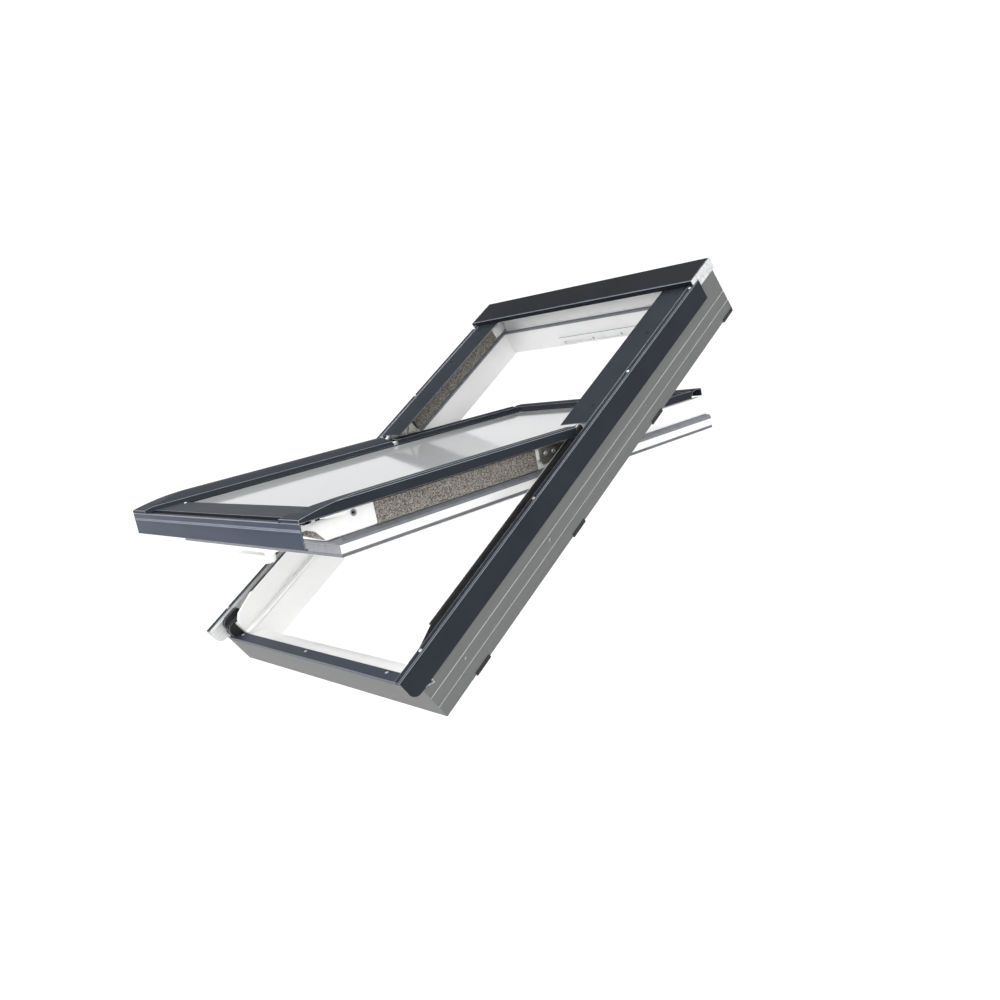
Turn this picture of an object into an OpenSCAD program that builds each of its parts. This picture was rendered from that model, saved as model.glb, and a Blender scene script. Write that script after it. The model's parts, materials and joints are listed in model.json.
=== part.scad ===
// Centre-pivot roof window: white PVC frame and sash, folded metal covers,
// sealed double glazing, arc-track hinges, handle with latch, ventilator.
// Millimetres. Drawn flat first: x across, y up the slope, z outward.
// Then leaned back by the roof pitch, origin at the middle of the sill's back.

/* [Window] */
// width over the side linings
window_width = 780; // [600:10:1200]
// length up the slope over the end linings
window_length = 1180; // [980:10:1600]
// roof pitch the window leans at
roof_pitch = 45; // [15:5:75]
// angle of the sash from closed, as drawn
sash_open = 30.2; // [0:0.1:90]

/* [Frame] */
// width of the jambs and the sill seen from the room
frame_face = 56; // [54:1:70]
// width of the head seen from the room
head_face = 50; // [44:1:60]
// thickness of the grey outside linings
lining_t = 2; // [1.5:0.1:3]
// thickness of the folded covers
sheet_t = 1.5; // [1:0.1:1.8]
// how far the outer side covers run past the sill
cover_drop = 24; // [20:1:40]
// radius of the rounded lower corner of the outer covers
cover_corner_r = 20; // [8:1:24]
// radius of the fixing bores in the side faces
fixing_r = 3.5; // [2.5:0.1:4.5]

/* [Sash and glass] */
// gap between the sash and the jambs
sash_gap = 4; // [3.5:0.1:6]
// thickness of each glass pane
pane_t = 4; // [3:0.5:6]
// gas space between the panes
pane_space = 16; // [12:1:18]
// how far the bottom cover stands in front of the sill
apron_front = 16.5; // [14:0.5:22]
// how far the bottom cover hangs down from its top
apron_drop = 45.7; // [35:0.1:50]

/* [Hinges, handle, ventilator] */
// height of the pivot axis above the top of the sash covers
pivot_rise = 29; // [27:0.5:32]
// radius of the arc track, at the middle of its slot
track_r = 78; // [76:0.5:79]
// width of the arc slot
track_w = 8; // [6:0.5:9]
// half angle of the arc slot
track_half = 57; // [50:0.5:57]
// half angle of the sliding shoe
shoe_half = 7; // [5:0.5:9]
// radius of the handle spindle
spindle_r = 6; // [4:0.5:8]
// length of the handle grip from its spindle
grip_l = 132; // [90:1:150]
// how far the ventilator shutter stands to the right of the middle
shutter_shift = 30; // [-30:1:30]

/* [Clearances] */
// gap between parts that only rest beside each other
rest_gap = 0.3; // [0.2:0.05:0.4]
// gap between faces that touch
touch_gap = 0.03; // [0.02:0.01:0.05]
// radial gap of parts that run on each other
run_gap = 0.05; // [0.02:0.01:0.1]
// radial gap of a screw in its hole
screw_gap = 0.1; // [0.05:0.01:0.15]

/* [Hidden] */
$fn = 48;
half = window_width / 2;
long = window_length;
// distances out from the middle, frame
jamb_in = half - frame_face;
step_x = jamb_in + 13;
wall_x = step_x + 10;
jamb_out = half - lining_t;
leg_x = jamb_out - 7;
// distances out from the middle, sash
sash_x = jamb_in - sash_gap;
upper_x = sash_x - 10;
neck_x = sash_x - 16;
lip_x = sash_x - 8;
glass_x = sash_x - 30;
pocket_x = glass_x + 3;
bead_x = pocket_x + 13;
open_x = sash_x - 52;
edge_x = glass_x - 7;
skirt_x = wall_x + 8;
// heights above the back plane
sash_back = 19;
white_z = sash_back + 10;
layer_z = sash_back + 26;
neck_z = sash_back + 38;
seat_z = sash_back + 60;
glass_z = seat_z + 2;
glass_top = glass_z + 2 * pane_t + pane_space;
cover_z = glass_top + 1.3;
body_z = glass_top - 4;
bead_z = cover_z + 8.7;
cover_top = cover_z + 21.7;
wall_z = cover_top - 3;
leg_z = wall_z - 1;
recess_z = cover_top - 28;
ledge_z = cover_top - 58;
lining_z = cover_top - 10;
sill_z = ledge_z + 8;
sill_fall = 0.5;
under_z = sill_z + 4;
sill_tilt = atan(sill_fall);
// distances up the slope
head_s = long - head_face;
sash_s = frame_face + 10;
sash_e = head_s - 6;
lip_s = sash_s + 8;
lip_e = sash_e - 8;
neck_e = sash_e - 16;
glass_s = sash_s + 6.6;
glass_e = sash_e - 43;
edge_s = glass_s + 7;
edge_e = glass_e - 7;
open_s = sash_s + 52;
open_e = sash_e - 64;
rail_s = 20;
strip_s = 28;
pivot_s = long * 0.5466;
pivot_z = cover_top + 1 + pivot_rise;
split_s = pivot_s - 9;
casing_s = long - 80;
casing_e = long + 8;
casing_z = cover_top + 12;
// hinge
slot_in = track_r - track_w / 2;
slot_out = track_r + track_w / 2;
shoe_at = track_half - shoe_half;
plate_in = step_x - 6;
plate_s = slot_out * sin(track_half) + 5;
bolt_places = [[-70, -70], [-47, -70]];
plate_screws = [[-20, -50], [20, -50], [-64, -76], [64, -76]];
// repeated places
fixing_s = [long - 386, long - 785, 100];
clip_s = [long - 26, long - 378, long - 713, 117];
sill_screw_x = [9 - wall_x, -55, 250, wall_x - 9];
outer_screw_s = [48, long * 0.36, long * 0.68, long - 90];
inner_screw_s = [pivot_s + 55, long - 240, long - 100];
apron_screw_x = [25 - edge_x, edge_x - 25];
// latch
latch_x = 14;
latch_z = [white_z + 2, white_z + 12];
latch_travel = 16;
nose_s = 120;
nose_drop = 15.5;
nose_r = ((nose_s + apron_front) * (nose_s + apron_front)
  + nose_drop * nose_drop) / (2 * nose_drop);

white = [0.95, 0.95, 0.94];
pale = [0.55, 0.56, 0.58];
grey = [0.47, 0.48, 0.46];
dark = [0.23, 0.25, 0.29];
black = [0.06, 0.06, 0.07];
zinc = [0.70, 0.69, 0.64];
foam = [0.46, 0.43, 0.40];
glass = [0.75, 0.80, 0.80, 0.5];

// ---- placing ----

// lean the window back, origin to the middle of the sill's back face
module slope() {
  rotate([roof_pitch, 0, 0])
    translate([0, -frame_face / 2, 0])
      children();
}

// the same for the sash, swung open about the pivot axis
module swung() {
  slope()
    translate([0, pivot_s, pivot_z])
      rotate([-sash_open, 0, 0])
        translate([0, -pivot_s, -pivot_z])
          children();
}

module left() {
  mirror([1, 0, 0])
    children();
}

module both() {
  children();
  left()
    children();
}

// a section in x and z run up the slope from a to b
module up(a, b) {
  translate([0, b, 0])
    rotate([90, 0, 0])
      linear_extrude(b - a)
        children();
}

// a section in y and z run across from a to b
module across(a, b) {
  translate([a, 0, 0])
    rotate([90, 0, 90])
      linear_extrude(b - a)
        children();
}

module block(x, y, z) {
  translate([x[0], y[0], z[0]])
    cube([x[1] - x[0], y[1] - y[0], z[1] - z[0]]);
}

// cylinder pointing out along x from x = a to b
module rod_x(a, b, y, z, r) {
  translate([a, y, z])
    rotate([0, 90, 0])
      cylinder(h = b - a, r = r);
}

// ---- folded sheet sections ----

function side_of(a, b) = [a[1] - b[1], b[0] - a[0]] / norm(b - a);

function mid_of(p, i) = (side_of(p[i - 1], p[i]) + side_of(p[i], p[i + 1]));

function shift_of(p, i, t) =
  i == 0 ? p[0] + t * side_of(p[0], p[1]) :
  i == len_of(p) - 1 ? p[i] + t * side_of(p[i - 1], p[i]) :
  p[i] + 2 * t * mid_of(p, i) / (mid_of(p, i) * mid_of(p, i));

function len_of(p) = len(p);

// a bent strip: the path is one face, t to its left is the other
module folded(p, t) {
  back = [for (i = [len_of(p) - 1:-1:0]) shift_of(p, i, t)];
  polygon(concat(p, back));
}

// a screw pointing down z with its seat at the origin
module screw(head_r, head_h, shank_r, shank_l) {
  cylinder(h = head_h, r = head_r);
  translate([0, 0, -shank_l])
    cylinder(h = shank_l + 0.01, r = shank_r);
}

module sill_place(x) {
  translate([x, 18, sill_z - 18 * sill_fall])
    rotate([-sill_tilt, 0, 0])
      children();
}

// ---- frame members ----

module jamb_section() {
  polygon([[jamb_in, 0], [jamb_out, 0], [jamb_out, leg_z], [leg_x, leg_z],
    [leg_x, recess_z], [wall_x, recess_z], [wall_x, wall_z],
    [step_x, wall_z], [step_x, ledge_z + 4], [step_x - 2, ledge_z + 2],
    [jamb_in, ledge_z]]);
}

// everything above the sill's falling top, at the low end of a jamb
module sill_cut() {
  across(jamb_in - 1, half + 1)
    polygon([[-2, sill_z + 1], [strip_s, sill_z - strip_s * sill_fall],
      [strip_s, 300], [-2, 300]]);
}

// the low end of a jamb's inner wall, rounded off under the cover nose
module wall_cut() {
  across(jamb_in - 1, wall_x + 1)
    polygon([[strip_s - 1, sill_z - (strip_s + 1) * sill_fall],
      [strip_s + 2, recess_z - 10], [strip_s + 8, recess_z + 4],
      [strip_s + 20, recess_z + 14], [strip_s + 60, wall_z - 3],
      [strip_s + 75, wall_z + 0.5], [strip_s + 75, 300],
      [strip_s - 1, 300]]);
}

module jamb(side) {
  difference() {
    up(lining_t, long - lining_t)
      jamb_section();
    sill_cut();
    wall_cut();
    for (s = fixing_s)
      rod_x(jamb_out - 30, half + 1, s, 42, fixing_r);
    for (s = outer_screw_s)
      translate([jamb_out - 3.5, s, wall_z - 16])
        cylinder(h = 30, r = 1.6 + screw_gap);
    for (s = inner_screw_s)
      translate([step_x + 5, s, wall_z - 16])
        cylinder(h = 30, r = 1.6 + screw_gap);
    for (p = plate_screws)
      rod_x(step_x - 1, step_x + 8, pivot_s + p[0], pivot_z + p[1],
        2 + screw_gap);
    for (x = sill_screw_x)
      sill_place(side * x)
        translate([0, 0, -14])
          cylinder(h = 30, r = 1.6 + screw_gap);
  }
}

module right_jamb() {
  color(white)
    slope()
      jamb(1);
}

module left_jamb() {
  color(white)
    slope()
      left()
        jamb(-1);
}

module frame_head() {
  color(white)
    slope() {
      across(-jamb_in, jamb_in)
        polygon([[head_s, 0], [long - lining_t, 0], [long - lining_t, lining_z],
          [head_s + 22, lining_z], [head_s + 13, ledge_z + 4],
          [head_s, ledge_z]]);
      both()
        block([jamb_in - 1, step_x], [head_s + 22, long - lining_t],
          [ledge_z + 4, lining_z]);
    }
}

module frame_sill() {
  color(white)
    slope()
      difference() {
        across(-jamb_in, jamb_in)
          polygon([[lining_t, 0], [frame_face, 0],
            [frame_face, sill_z - frame_face * sill_fall],
            [lining_t, sill_z - lining_t * sill_fall]]);
        block([-25, 25], [frame_face - 1.5, frame_face + 1],
          [latch_z[0] - 7, latch_z[1] + 7]);
        block([-latch_x - 1, latch_x + 1], [frame_face - 10, frame_face],
          [latch_z[0] - 1, latch_z[1] + 1]);
        for (x = sill_screw_x)
          sill_place(x)
            translate([0, 0, -14])
              cylinder(h = 30, r = 1.6 + screw_gap);
      }
}

// ---- grey outside linings ----

module lining() {
  difference() {
    up(0, long)
      polygon([[jamb_out, 0], [half, 0], [half, 26.5], [half - 1, 27.2],
        [half - 1, 28.8], [half, 29.5], [half, 51.5], [half - 1, 52.2],
        [half - 1, 53.8], [half, 54.5], [half, lining_z],
        [jamb_out, lining_z]]);
    across(jamb_out - 1, half + 1)
      polygon([[-2, sill_z + 1], [strip_s, sill_z - strip_s * sill_fall],
        [strip_s, 300], [-2, 300]]);
    for (s = fixing_s)
      rod_x(jamb_out - 1, half + 1, s, 42, fixing_r);
  }
}

module right_lining() {
  color(grey)
    slope()
      lining();
}

module left_lining() {
  color(grey)
    slope()
      left()
        lining();
}

module head_lining() {
  color(grey)
    slope()
      block([-jamb_out, jamb_out], [long - lining_t, long], [0, lining_z]);
}

module sill_lining() {
  color(grey)
    slope()
      across(-jamb_out, jamb_out)
        polygon([[0, 0], [lining_t, 0],
          [lining_t, sill_z - lining_t * sill_fall], [0, sill_z]]);
}

// ---- outer side covers ----

module outer_cover() {
  out = half + rest_gap + sheet_t;
  path = [[half - 14, lining_z + 1], [half - 14, cover_top - 1],
    [half - 12, cover_top], [out - 2, cover_top], [out, cover_top - 2],
    [out, ledge_z + 7]];
  difference() {
    up(-cover_drop, long - 60)
      folded(path, -sheet_t);
    for (s = outer_screw_s)
      translate([jamb_out - 3.5, s, leg_z])
        cylinder(h = 10, r = 1.6 + screw_gap);
    difference() {
      block([half - 20, out + 1], [-cover_drop - 1, cover_corner_r - cover_drop],
        [ledge_z + 6, ledge_z + 7 + cover_corner_r]);
      rod_x(half - 21, out + 2, cover_corner_r - cover_drop,
        ledge_z + 7 + cover_corner_r, cover_corner_r);
    }
  }
}

module right_outer_cover() {
  color(dark)
    slope()
      outer_cover();
}

module left_outer_cover() {
  color(dark)
    slope()
      left()
        outer_cover();
}

// ---- upper covers fixed to the frame ----

module frame_cover() {
  path = [[edge_x + 2, wall_z], [edge_x + 47, wall_z + 1.8],
    [wall_x + 17, wall_z + 1.8], [wall_x + 17, wall_z - 8]];
  difference() {
    up(pivot_s - 2, long - 3)
      folded(path, -sheet_t);
    for (s = inner_screw_s)
      translate([step_x + 5, s, wall_z - 1])
        cylinder(h = 10, r = 1.6 + screw_gap);
  }
}

module right_frame_cover() {
  color(dark)
    slope()
      frame_cover();
}

module left_frame_cover() {
  color(dark)
    slope()
      left()
        frame_cover();
}

module top_casing() {
  w = wall_x + 10;
  path = [[casing_s + 10, wall_z + 2.1], [casing_s, wall_z + 2.1],
    [casing_s, casing_z - 1], [casing_s + 1, casing_z],
    [casing_e - 1, casing_z], [casing_e, casing_z - 1],
    [casing_e, recess_z + 4]];
  color(dark)
    slope() {
      across(-w, w)
        folded(path, -sheet_t);
      across(2 - half, half - 2)
        folded([[casing_s, cover_top + 3], [casing_s, casing_z - 1],
          [casing_s + 1, casing_z], [casing_e - 1, casing_z],
          [casing_e, casing_z - 1], [casing_e, cover_top + 3]], -sheet_t);
    }
}

module casing_bracket() {
  w = wall_x + 10;
  across(half + rest_gap, half + rest_gap + 1.2)
    polygon([[casing_s - 3, cover_top + rest_gap],
      [long - 59, cover_top + rest_gap], [long - 59, cover_top - 16],
      [casing_e, cover_top - 16], [casing_e, casing_z],
      [casing_s - 3, casing_z]]);
  block([w - 8, half + rest_gap + 0.6], [casing_s + 4, casing_e - 3],
    [casing_z - sheet_t - 1.4, casing_z - sheet_t - 0.2]);
}

module right_casing_bracket() {
  color(zinc)
    slope()
      casing_bracket();
}

module left_casing_bracket() {
  color(zinc)
    slope()
      left()
        casing_bracket();
}

// ---- sill end ----

module sill_flashing() {
  w = leg_x - 1;
  color(dark)
    slope()
      difference() {
        across(-w, w)
          polygon([[strip_s - 0.5,
              sill_z + touch_gap - (strip_s - 0.5) * sill_fall],
            [0, sill_z + touch_gap], [-rest_gap, sill_z + touch_gap], [-rest_gap, sill_z - 6],
            [-rest_gap - 1.2, sill_z - 6], [-rest_gap - 1.2, sill_z + 1.4],
            [0, sill_z + 1.4],
            [strip_s - 0.5, sill_z + 1.4 - (strip_s - 0.5) * sill_fall]]);
        for (x = sill_screw_x)
          sill_place(x)
            translate([0, 0, -3])
              cylinder(h = 8, r = 1.6 + screw_gap);
      }
}

module end_plug() {
  x0 = wall_x + rest_gap;
  x1 = half - 14 - rest_gap;
  x2 = skirt_x + 2;
  low = cover_z - 0.5;
  top = leg_z - 2;
  z0 = sill_z + 1.4 + rest_gap;
  difference() {
    union() {
      across(x0, x1)
        polygon([[3, z0 - 3 * sill_fall],
          [strip_s - 1, z0 - (strip_s - 1) * sill_fall],
          [strip_s - 1, recess_z + rest_gap],
          [strip_s + 34, recess_z + rest_gap], [strip_s + 34, low - 2],
          [strip_s + 32, low], [14, low], [6, low - 6], [3, low - 14]]);
      across(x2, x1)
        polygon([[6, low - 7], [strip_s + 32, low - 3],
          [strip_s + 32, top - 6], [strip_s + 26, top],
          [24, top], [13, top - 4], [8, top - 10]]);
    }
    for (k = [0.22, 0.55])
      block([x0 + (x2 - x0) * k, x0 + (x2 - x0) * k + 2], [-1, 5.5],
        [z0 + 6, low - 8]);
  }
}

module right_end_plug() {
  color(black)
    slope()
      end_plug();
}

module left_end_plug() {
  color(black)
    slope()
      left()
        end_plug();
}

// ---- seals and blocks on the frame ----

module frame_foam() {
  block([jamb_in, step_x], [pivot_s + plate_s + 4, head_s - 30],
    [ledge_z + 7.3, lining_z]);
}

module right_frame_foam() {
  color(foam)
    slope()
      frame_foam();
}

module left_frame_foam() {
  color(foam)
    slope()
      left()
        frame_foam();
}

// seal on the jamb's inner wall, over its top and down its outer side
module wall_seal() {
  up(strip_s + 77, pivot_s - 4)
    polygon([[wall_x - 6, wall_z + touch_gap],
      [wall_x + touch_gap, wall_z + touch_gap],
      [wall_x + touch_gap, recess_z + 6], [wall_x + 1.2, recess_z + 6],
      [wall_x + 1.2, wall_z + 0.6], [wall_x + 0.6, wall_z + 1.2],
      [wall_x - 6, wall_z + 0.8]]);
  across(wall_x + touch_gap, wall_x + 1.2)
    polygon([[strip_s + 28, recess_z + 6], [strip_s + 77, recess_z + 6],
      [strip_s + 77, wall_z + 0.6], [strip_s + 62, wall_z - 3],
      [strip_s + 28, recess_z + 14]]);
}

module frame_gasket() {
  a = pivot_s + plate_s + 4;
  color(pale)
    slope() {
      both() {
        up(a, head_s - touch_gap)
          polygon([[jamb_in - 1.5, ledge_z - 3],
            [jamb_in - touch_gap, ledge_z - 3],
            [jamb_in - touch_gap, ledge_z + touch_gap],
            [jamb_in + 5, ledge_z + 1 + touch_gap],
            [jamb_in + 5, ledge_z + 3], [jamb_in - 1.5, ledge_z + 2.5]]);
        wall_seal();
      }
      across(-jamb_in, jamb_in)
        polygon([[head_s - 1.5, ledge_z - 3],
          [head_s - touch_gap, ledge_z - 3],
          [head_s - touch_gap, ledge_z + touch_gap],
          [head_s + 5, ledge_z + 1.6 + touch_gap],
          [head_s + 5, ledge_z + 3.6], [head_s - 1.5, ledge_z + 2.5]]);
    }
}

module head_blocks() {
  color(white)
    slope()
      both()
        block([jamb_in + 1, step_x], [head_s - 29.7, head_s + 21.7],
          [ledge_z + 7.3, lining_z]);
}

// ---- ventilator in the head ----

module ventilator_housing() {
  color(white)
    slope()
      difference() {
        block([-139, 139], [head_s - 2.6, head_s - touch_gap], [2, 28]);
        block([-125, 125], [head_s - 3, head_s + 1], [8, 16]);
        block([-127, 127], [head_s - 1.9, head_s + 1], [5, 20]);
      }
}

module ventilator_shutter() {
  color(white)
    slope()
      translate([shutter_shift, 0, 0]) {
        block([-92, 92], [head_s - 1.7, head_s - 0.3], [5.3, 19.7]);
        for (x = [-50, 50])
          translate([x, head_s - 1.5, 12])
            rotate([90, 0, 0])
              cylinder(h = 3.1, r = 3.4);
      }
}

// ---- clips and screws on the frame ----

module back_clips() {
  color(black)
    slope()
      both()
        for (s = clip_s) {
          block([half - 14, half + 1.5], [s - 22.5, s + 22.5], [-3, 0]);
          block([half, half + 1.5], [s - 22.5, s + 22.5], [-1, 5]);
        }
}

module frame_cover_screws() {
  color(zinc)
    slope()
      both() {
        for (s = outer_screw_s)
          translate([jamb_out - 3.5, s, cover_top])
            screw(3.6, 1.6, 1.6, 16);
        for (s = inner_screw_s)
          translate([step_x + 5, s, wall_z + 1.8])
            screw(3.6, 1.6, 1.6, 14);
      }
}

module sill_screws() {
  color(zinc)
    slope()
      for (x = sill_screw_x)
        sill_place(x)
          translate([0, 0, 1.3])
            screw(3.6, 1.6, 1.6, 13);
}

// ---- hinges ----

// ring sector in y and z about the pivot, out of the middle band
module sector(r0, r1, a0, a1) {
  big = r1 * 2;
  intersection() {
    difference() {
      circle(r = r1);
      circle(r = r0);
    }
    polygon([[0, 0], [big * sin(a0), -big * cos(a0)],
      [big * sin((a0 + a1) / 2), -big * cos((a0 + a1) / 2)],
      [big * sin(a1), -big * cos(a1)]]);
  }
}

module hinge_plate() {
  difference() {
    block([plate_in, step_x], [pivot_s - plate_s, pivot_s + plate_s],
      [pivot_z - slot_out - 1.5, wall_z - 3]);
    translate([0, pivot_s, pivot_z])
      across(plate_in - 1, step_x + 1)
        sector(slot_in, slot_out, -track_half, track_half);
    for (p = plate_screws)
      rod_x(plate_in - 1, step_x + 1, pivot_s + p[0], pivot_z + p[1],
        2 + screw_gap);
  }
}

module right_hinge_plate() {
  color(zinc)
    slope()
      hinge_plate();
}

module left_hinge_plate() {
  color(zinc)
    slope()
      left()
        hinge_plate();
}

module hinge_plate_screws() {
  color(zinc)
    slope()
      both()
        for (p = plate_screws) {
          rod_x(plate_in - 1.8, plate_in, pivot_s + p[0], pivot_z + p[1], 3.6);
          rod_x(plate_in - 1, step_x + 6, pivot_s + p[0], pivot_z + p[1], 2);
        }
}

module hinge_carriage() {
  a0 = shoe_at - shoe_half;
  a1 = shoe_at + shoe_half;
  difference() {
    union() {
      translate([0, pivot_s, pivot_z])
        across(upper_x + 1.8, upper_x + 5)
          polygon([[-86, -58], [-86, -84], [-78, -92], [52, -92],
            [slot_out * sin(a1) + 1, -60], [slot_out * sin(a1) + 1, -42],
            [slot_in * sin(a0) - 4, -slot_in * cos(a0) + 2], [32, -58]]);
      block([upper_x, upper_x + 2], [pivot_s - 86, pivot_s + 40],
        [pivot_z - 92 + 8, body_z - 2]);
      translate([0, pivot_s, pivot_z])
        across(upper_x + 4, step_x - rest_gap)
          sector(slot_in + run_gap, slot_out - run_gap, a0, a1);
    }
    for (p = bolt_places)
      rod_x(upper_x - 1, upper_x + 6, pivot_s + p[0], pivot_z + p[1],
        3 + screw_gap);
  }
}

module right_hinge_carriage() {
  color(zinc)
    swung()
      hinge_carriage();
}

module left_hinge_carriage() {
  color(zinc)
    swung()
      left()
        hinge_carriage();
}

module carriage_bolts() {
  color(zinc)
    swung()
      both()
        for (p = bolt_places) {
          rod_x(upper_x + 5, upper_x + 9.5, pivot_s + p[0], pivot_z + p[1], 6);
          rod_x(upper_x - 15, upper_x + 6, pivot_s + p[0], pivot_z + p[1], 3);
        }
}

module hinge_blocks() {
  color(white)
    swung()
      both()
        block([upper_x, upper_x + 12], [pivot_s - 102, pivot_s - 92.3],
          [body_z - 22, body_z]);
}

// ---- latch keeper in the sill ----

module latch_keeper() {
  color(zinc)
    slope()
      difference() {
        block([-25, 25], [frame_face - 1.5, frame_face],
          [latch_z[0] - 7, latch_z[1] + 7]);
        block([-latch_x - 1, latch_x + 1], [frame_face - 2, frame_face + 1],
          [latch_z[0] - 1, latch_z[1] + 1]);
      }
}

// ---- sash members ----

// side view of the sash, the end cuts that stiles and rails share
module sash_outline() {
  z1 = under_z - rail_s * sill_fall;
  polygon([[lip_s, sash_back], [lip_e, sash_back], [lip_e, white_z],
    [sash_e, white_z], [sash_e, layer_z], [neck_e, layer_z],
    [neck_e, neck_z], [sash_e - 2, neck_z], [sash_e - 13, body_z],
    [edge_e - 1, body_z], [edge_e - 1, bead_z],
    [rail_s + 10, bead_z], [rail_s + 10, body_z],
    [rail_s, body_z], [rail_s, z1], [rail_s + 2 * (z1 - neck_z), neck_z],
    [lip_s, neck_z], [lip_s, layer_z], [sash_s, layer_z],
    [sash_s, white_z], [lip_s, white_z]]);
}

module stile() {
  difference() {
    intersection() {
      up(0, long)
        polygon([[open_x, sash_back], [lip_x, sash_back], [lip_x, white_z],
          [sash_x, white_z], [sash_x, layer_z], [neck_x, layer_z],
          [neck_x, neck_z], [upper_x, neck_z], [upper_x, body_z],
          [bead_x, body_z], [bead_x, bead_z], [pocket_x, bead_z],
          [pocket_x, seat_z], [open_x, seat_z]]);
      across(0, half)
        sash_outline();
    }
    for (p = bolt_places)
      rod_x(upper_x - 16, upper_x + 1, pivot_s + p[0], pivot_z + p[1],
        3 + screw_gap);
  }
}

module right_stile() {
  color(white)
    swung()
      stile();
}

module left_stile() {
  color(white)
    swung()
      left()
        stile();
}

module top_rail() {
  color(white)
    swung()
      across(-open_x, open_x)
        polygon([[open_e, sash_back], [lip_e, sash_back], [lip_e, white_z],
          [sash_e, white_z], [sash_e, layer_z], [neck_e, layer_z],
          [neck_e, neck_z], [sash_e - 2, neck_z], [sash_e - 13, body_z],
          [glass_e + 16, body_z], [glass_e + 16, bead_z],
          [glass_e + 3, bead_z], [glass_e + 3, seat_z], [open_e, seat_z]]);
}

module bottom_rail() {
  z1 = under_z - rail_s * sill_fall;
  s1 = glass_s - 2.6;
  color(white)
    swung()
      difference() {
        across(-open_x, open_x)
          polygon([[lip_s, sash_back], [open_s, sash_back],
            [open_s, seat_z], [s1, seat_z], [s1, cover_z + 2.7],
            [s1 - 14, cover_z + 2.7], [s1 - 14, body_z],
            [rail_s, body_z], [rail_s, z1],
            [rail_s + 2 * (z1 - neck_z), neck_z], [lip_s, neck_z],
            [lip_s, layer_z], [sash_s, layer_z], [sash_s, white_z],
            [lip_s, white_z]]);
        block([-latch_x - rest_gap, latch_x + rest_gap],
          [sash_s - 1, open_s - 10],
          [latch_z[0] - rest_gap, latch_z[1] + rest_gap]);
        translate([0, sash_s + 30, sash_back - 1])
          cylinder(h = 8, r = spindle_r + run_gap);
        for (x = apron_screw_x)
          translate([x, s1 - 7, cover_z - 8])
            cylinder(h = 20, r = 1.6 + screw_gap);
      }
}

// ---- glazing ----

module outer_pane() {
  color(glass)
    swung()
      block([-glass_x, glass_x], [glass_s, glass_e],
        [glass_top - pane_t, glass_top]);
}

module inner_pane() {
  color(glass)
    swung()
      block([-glass_x, glass_x], [glass_s, glass_e],
        [glass_z, glass_z + pane_t]);
}

module pane_spacer() {
  color(zinc)
    swung()
      difference() {
        block([3 - glass_x, glass_x - 3], [glass_s + 3, glass_e - 3],
          [glass_z + pane_t + touch_gap, glass_top - pane_t - touch_gap]);
        block([13 - glass_x, glass_x - 13], [glass_s + 13, glass_e - 13],
          [glass_z, glass_top]);
      }
}

module glazing_gasket() {
  color(black)
    swung()
      difference() {
        block([touch_gap - pocket_x, pocket_x - touch_gap],
          [glass_s - 2.6 + touch_gap, glass_e + 3 - touch_gap],
          [seat_z + touch_gap, cover_z]);
        block([-glass_x - touch_gap, glass_x + touch_gap],
          [glass_s - touch_gap, glass_e + touch_gap],
          [glass_z - touch_gap, glass_top + touch_gap]);
        block([18 - glass_x, glass_x - 18], [glass_s + 18, glass_e - 18],
          [seat_z - 1, cover_z + 1]);
        block([9 - glass_x, glass_x - 9], [glass_s + 9, glass_e - 9],
          [glass_top - 1, cover_z + 1]);
      }
}

// ---- sash covers ----

cover_path = [[edge_x, cover_z + sheet_t], [edge_x + 7, cover_z + 11.7],
  [edge_x + 45, cover_top], [skirt_x - 3, cover_top + 1],
  [skirt_x, cover_top - 2], [skirt_x, cover_z + 2]];

// the cover section filled down to a level, t inside its outer face
module cover_fill(t, low) {
  n = len_of(cover_path);
  path = [for (i = [0:n - 1]) shift_of(cover_path, i, -t)];
  polygon(concat(path, [[path[n - 1][0], low], [path[0][0], low]]));
}

// side view under the falling line of the nose, t below it
module nose_outline(t, low) {
  step = (nose_s + apron_front) / 10;
  z0 = cover_top + 1.2 - nose_r;
  line = [for (i = [0:10]) [i * step - apron_front,
    z0 + sqrt((nose_r - t) * (nose_r - t) - pow((10 - i) * step, 2))]];
  polygon(concat([[-apron_front, low]], line,
    [[nose_s, cover_top + 9], [split_s + 2, cover_top + 9],
    [split_s + 2, low]]));
}

module sash_cover() {
  difference() {
    intersection() {
      up(-apron_front, split_s)
        cover_fill(0, cover_z + 1.45);
      across(0, half)
        nose_outline(0, cover_z - 9);
    }
    intersection() {
      up(-apron_front + 5, split_s + 1)
        cover_fill(sheet_t, cover_z - 5);
      across(0, half)
        nose_outline(sheet_t, cover_z - 9);
    }
  }
}

module right_sash_cover() {
  color(dark)
    swung()
      sash_cover();
}

module left_sash_cover() {
  color(dark)
    swung()
      left()
        sash_cover();
}

module upper_sash_cover() {
  path = [[edge_x, cover_z + sheet_t], [edge_x + 7, cover_z + 11.7],
    [upper_x - 2, cover_z + 16], [upper_x + 1.5, cover_z + 14],
    [upper_x + 1.5, body_z + 2]];
  up(pivot_s + 5, edge_e)
    folded(path, -sheet_t);
}

module right_upper_sash_cover() {
  color(dark)
    swung()
      upper_sash_cover();
}

module left_upper_sash_cover() {
  color(dark)
    swung()
      left()
        upper_sash_cover();
}

module sash_top_cover() {
  path = [[edge_e, cover_z + sheet_t], [edge_e + 7, cover_z + 11.7],
    [edge_e + 20, cover_z + 15], [sash_e - 12, cover_z + 15],
    [sash_e - 10.5, cover_z + 12], [sash_e - 10.5, body_z + 2]];
  w = upper_x + 1.5;
  color(dark)
    swung()
      across(-w, w)
        folded(path, -sheet_t);
}

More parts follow.
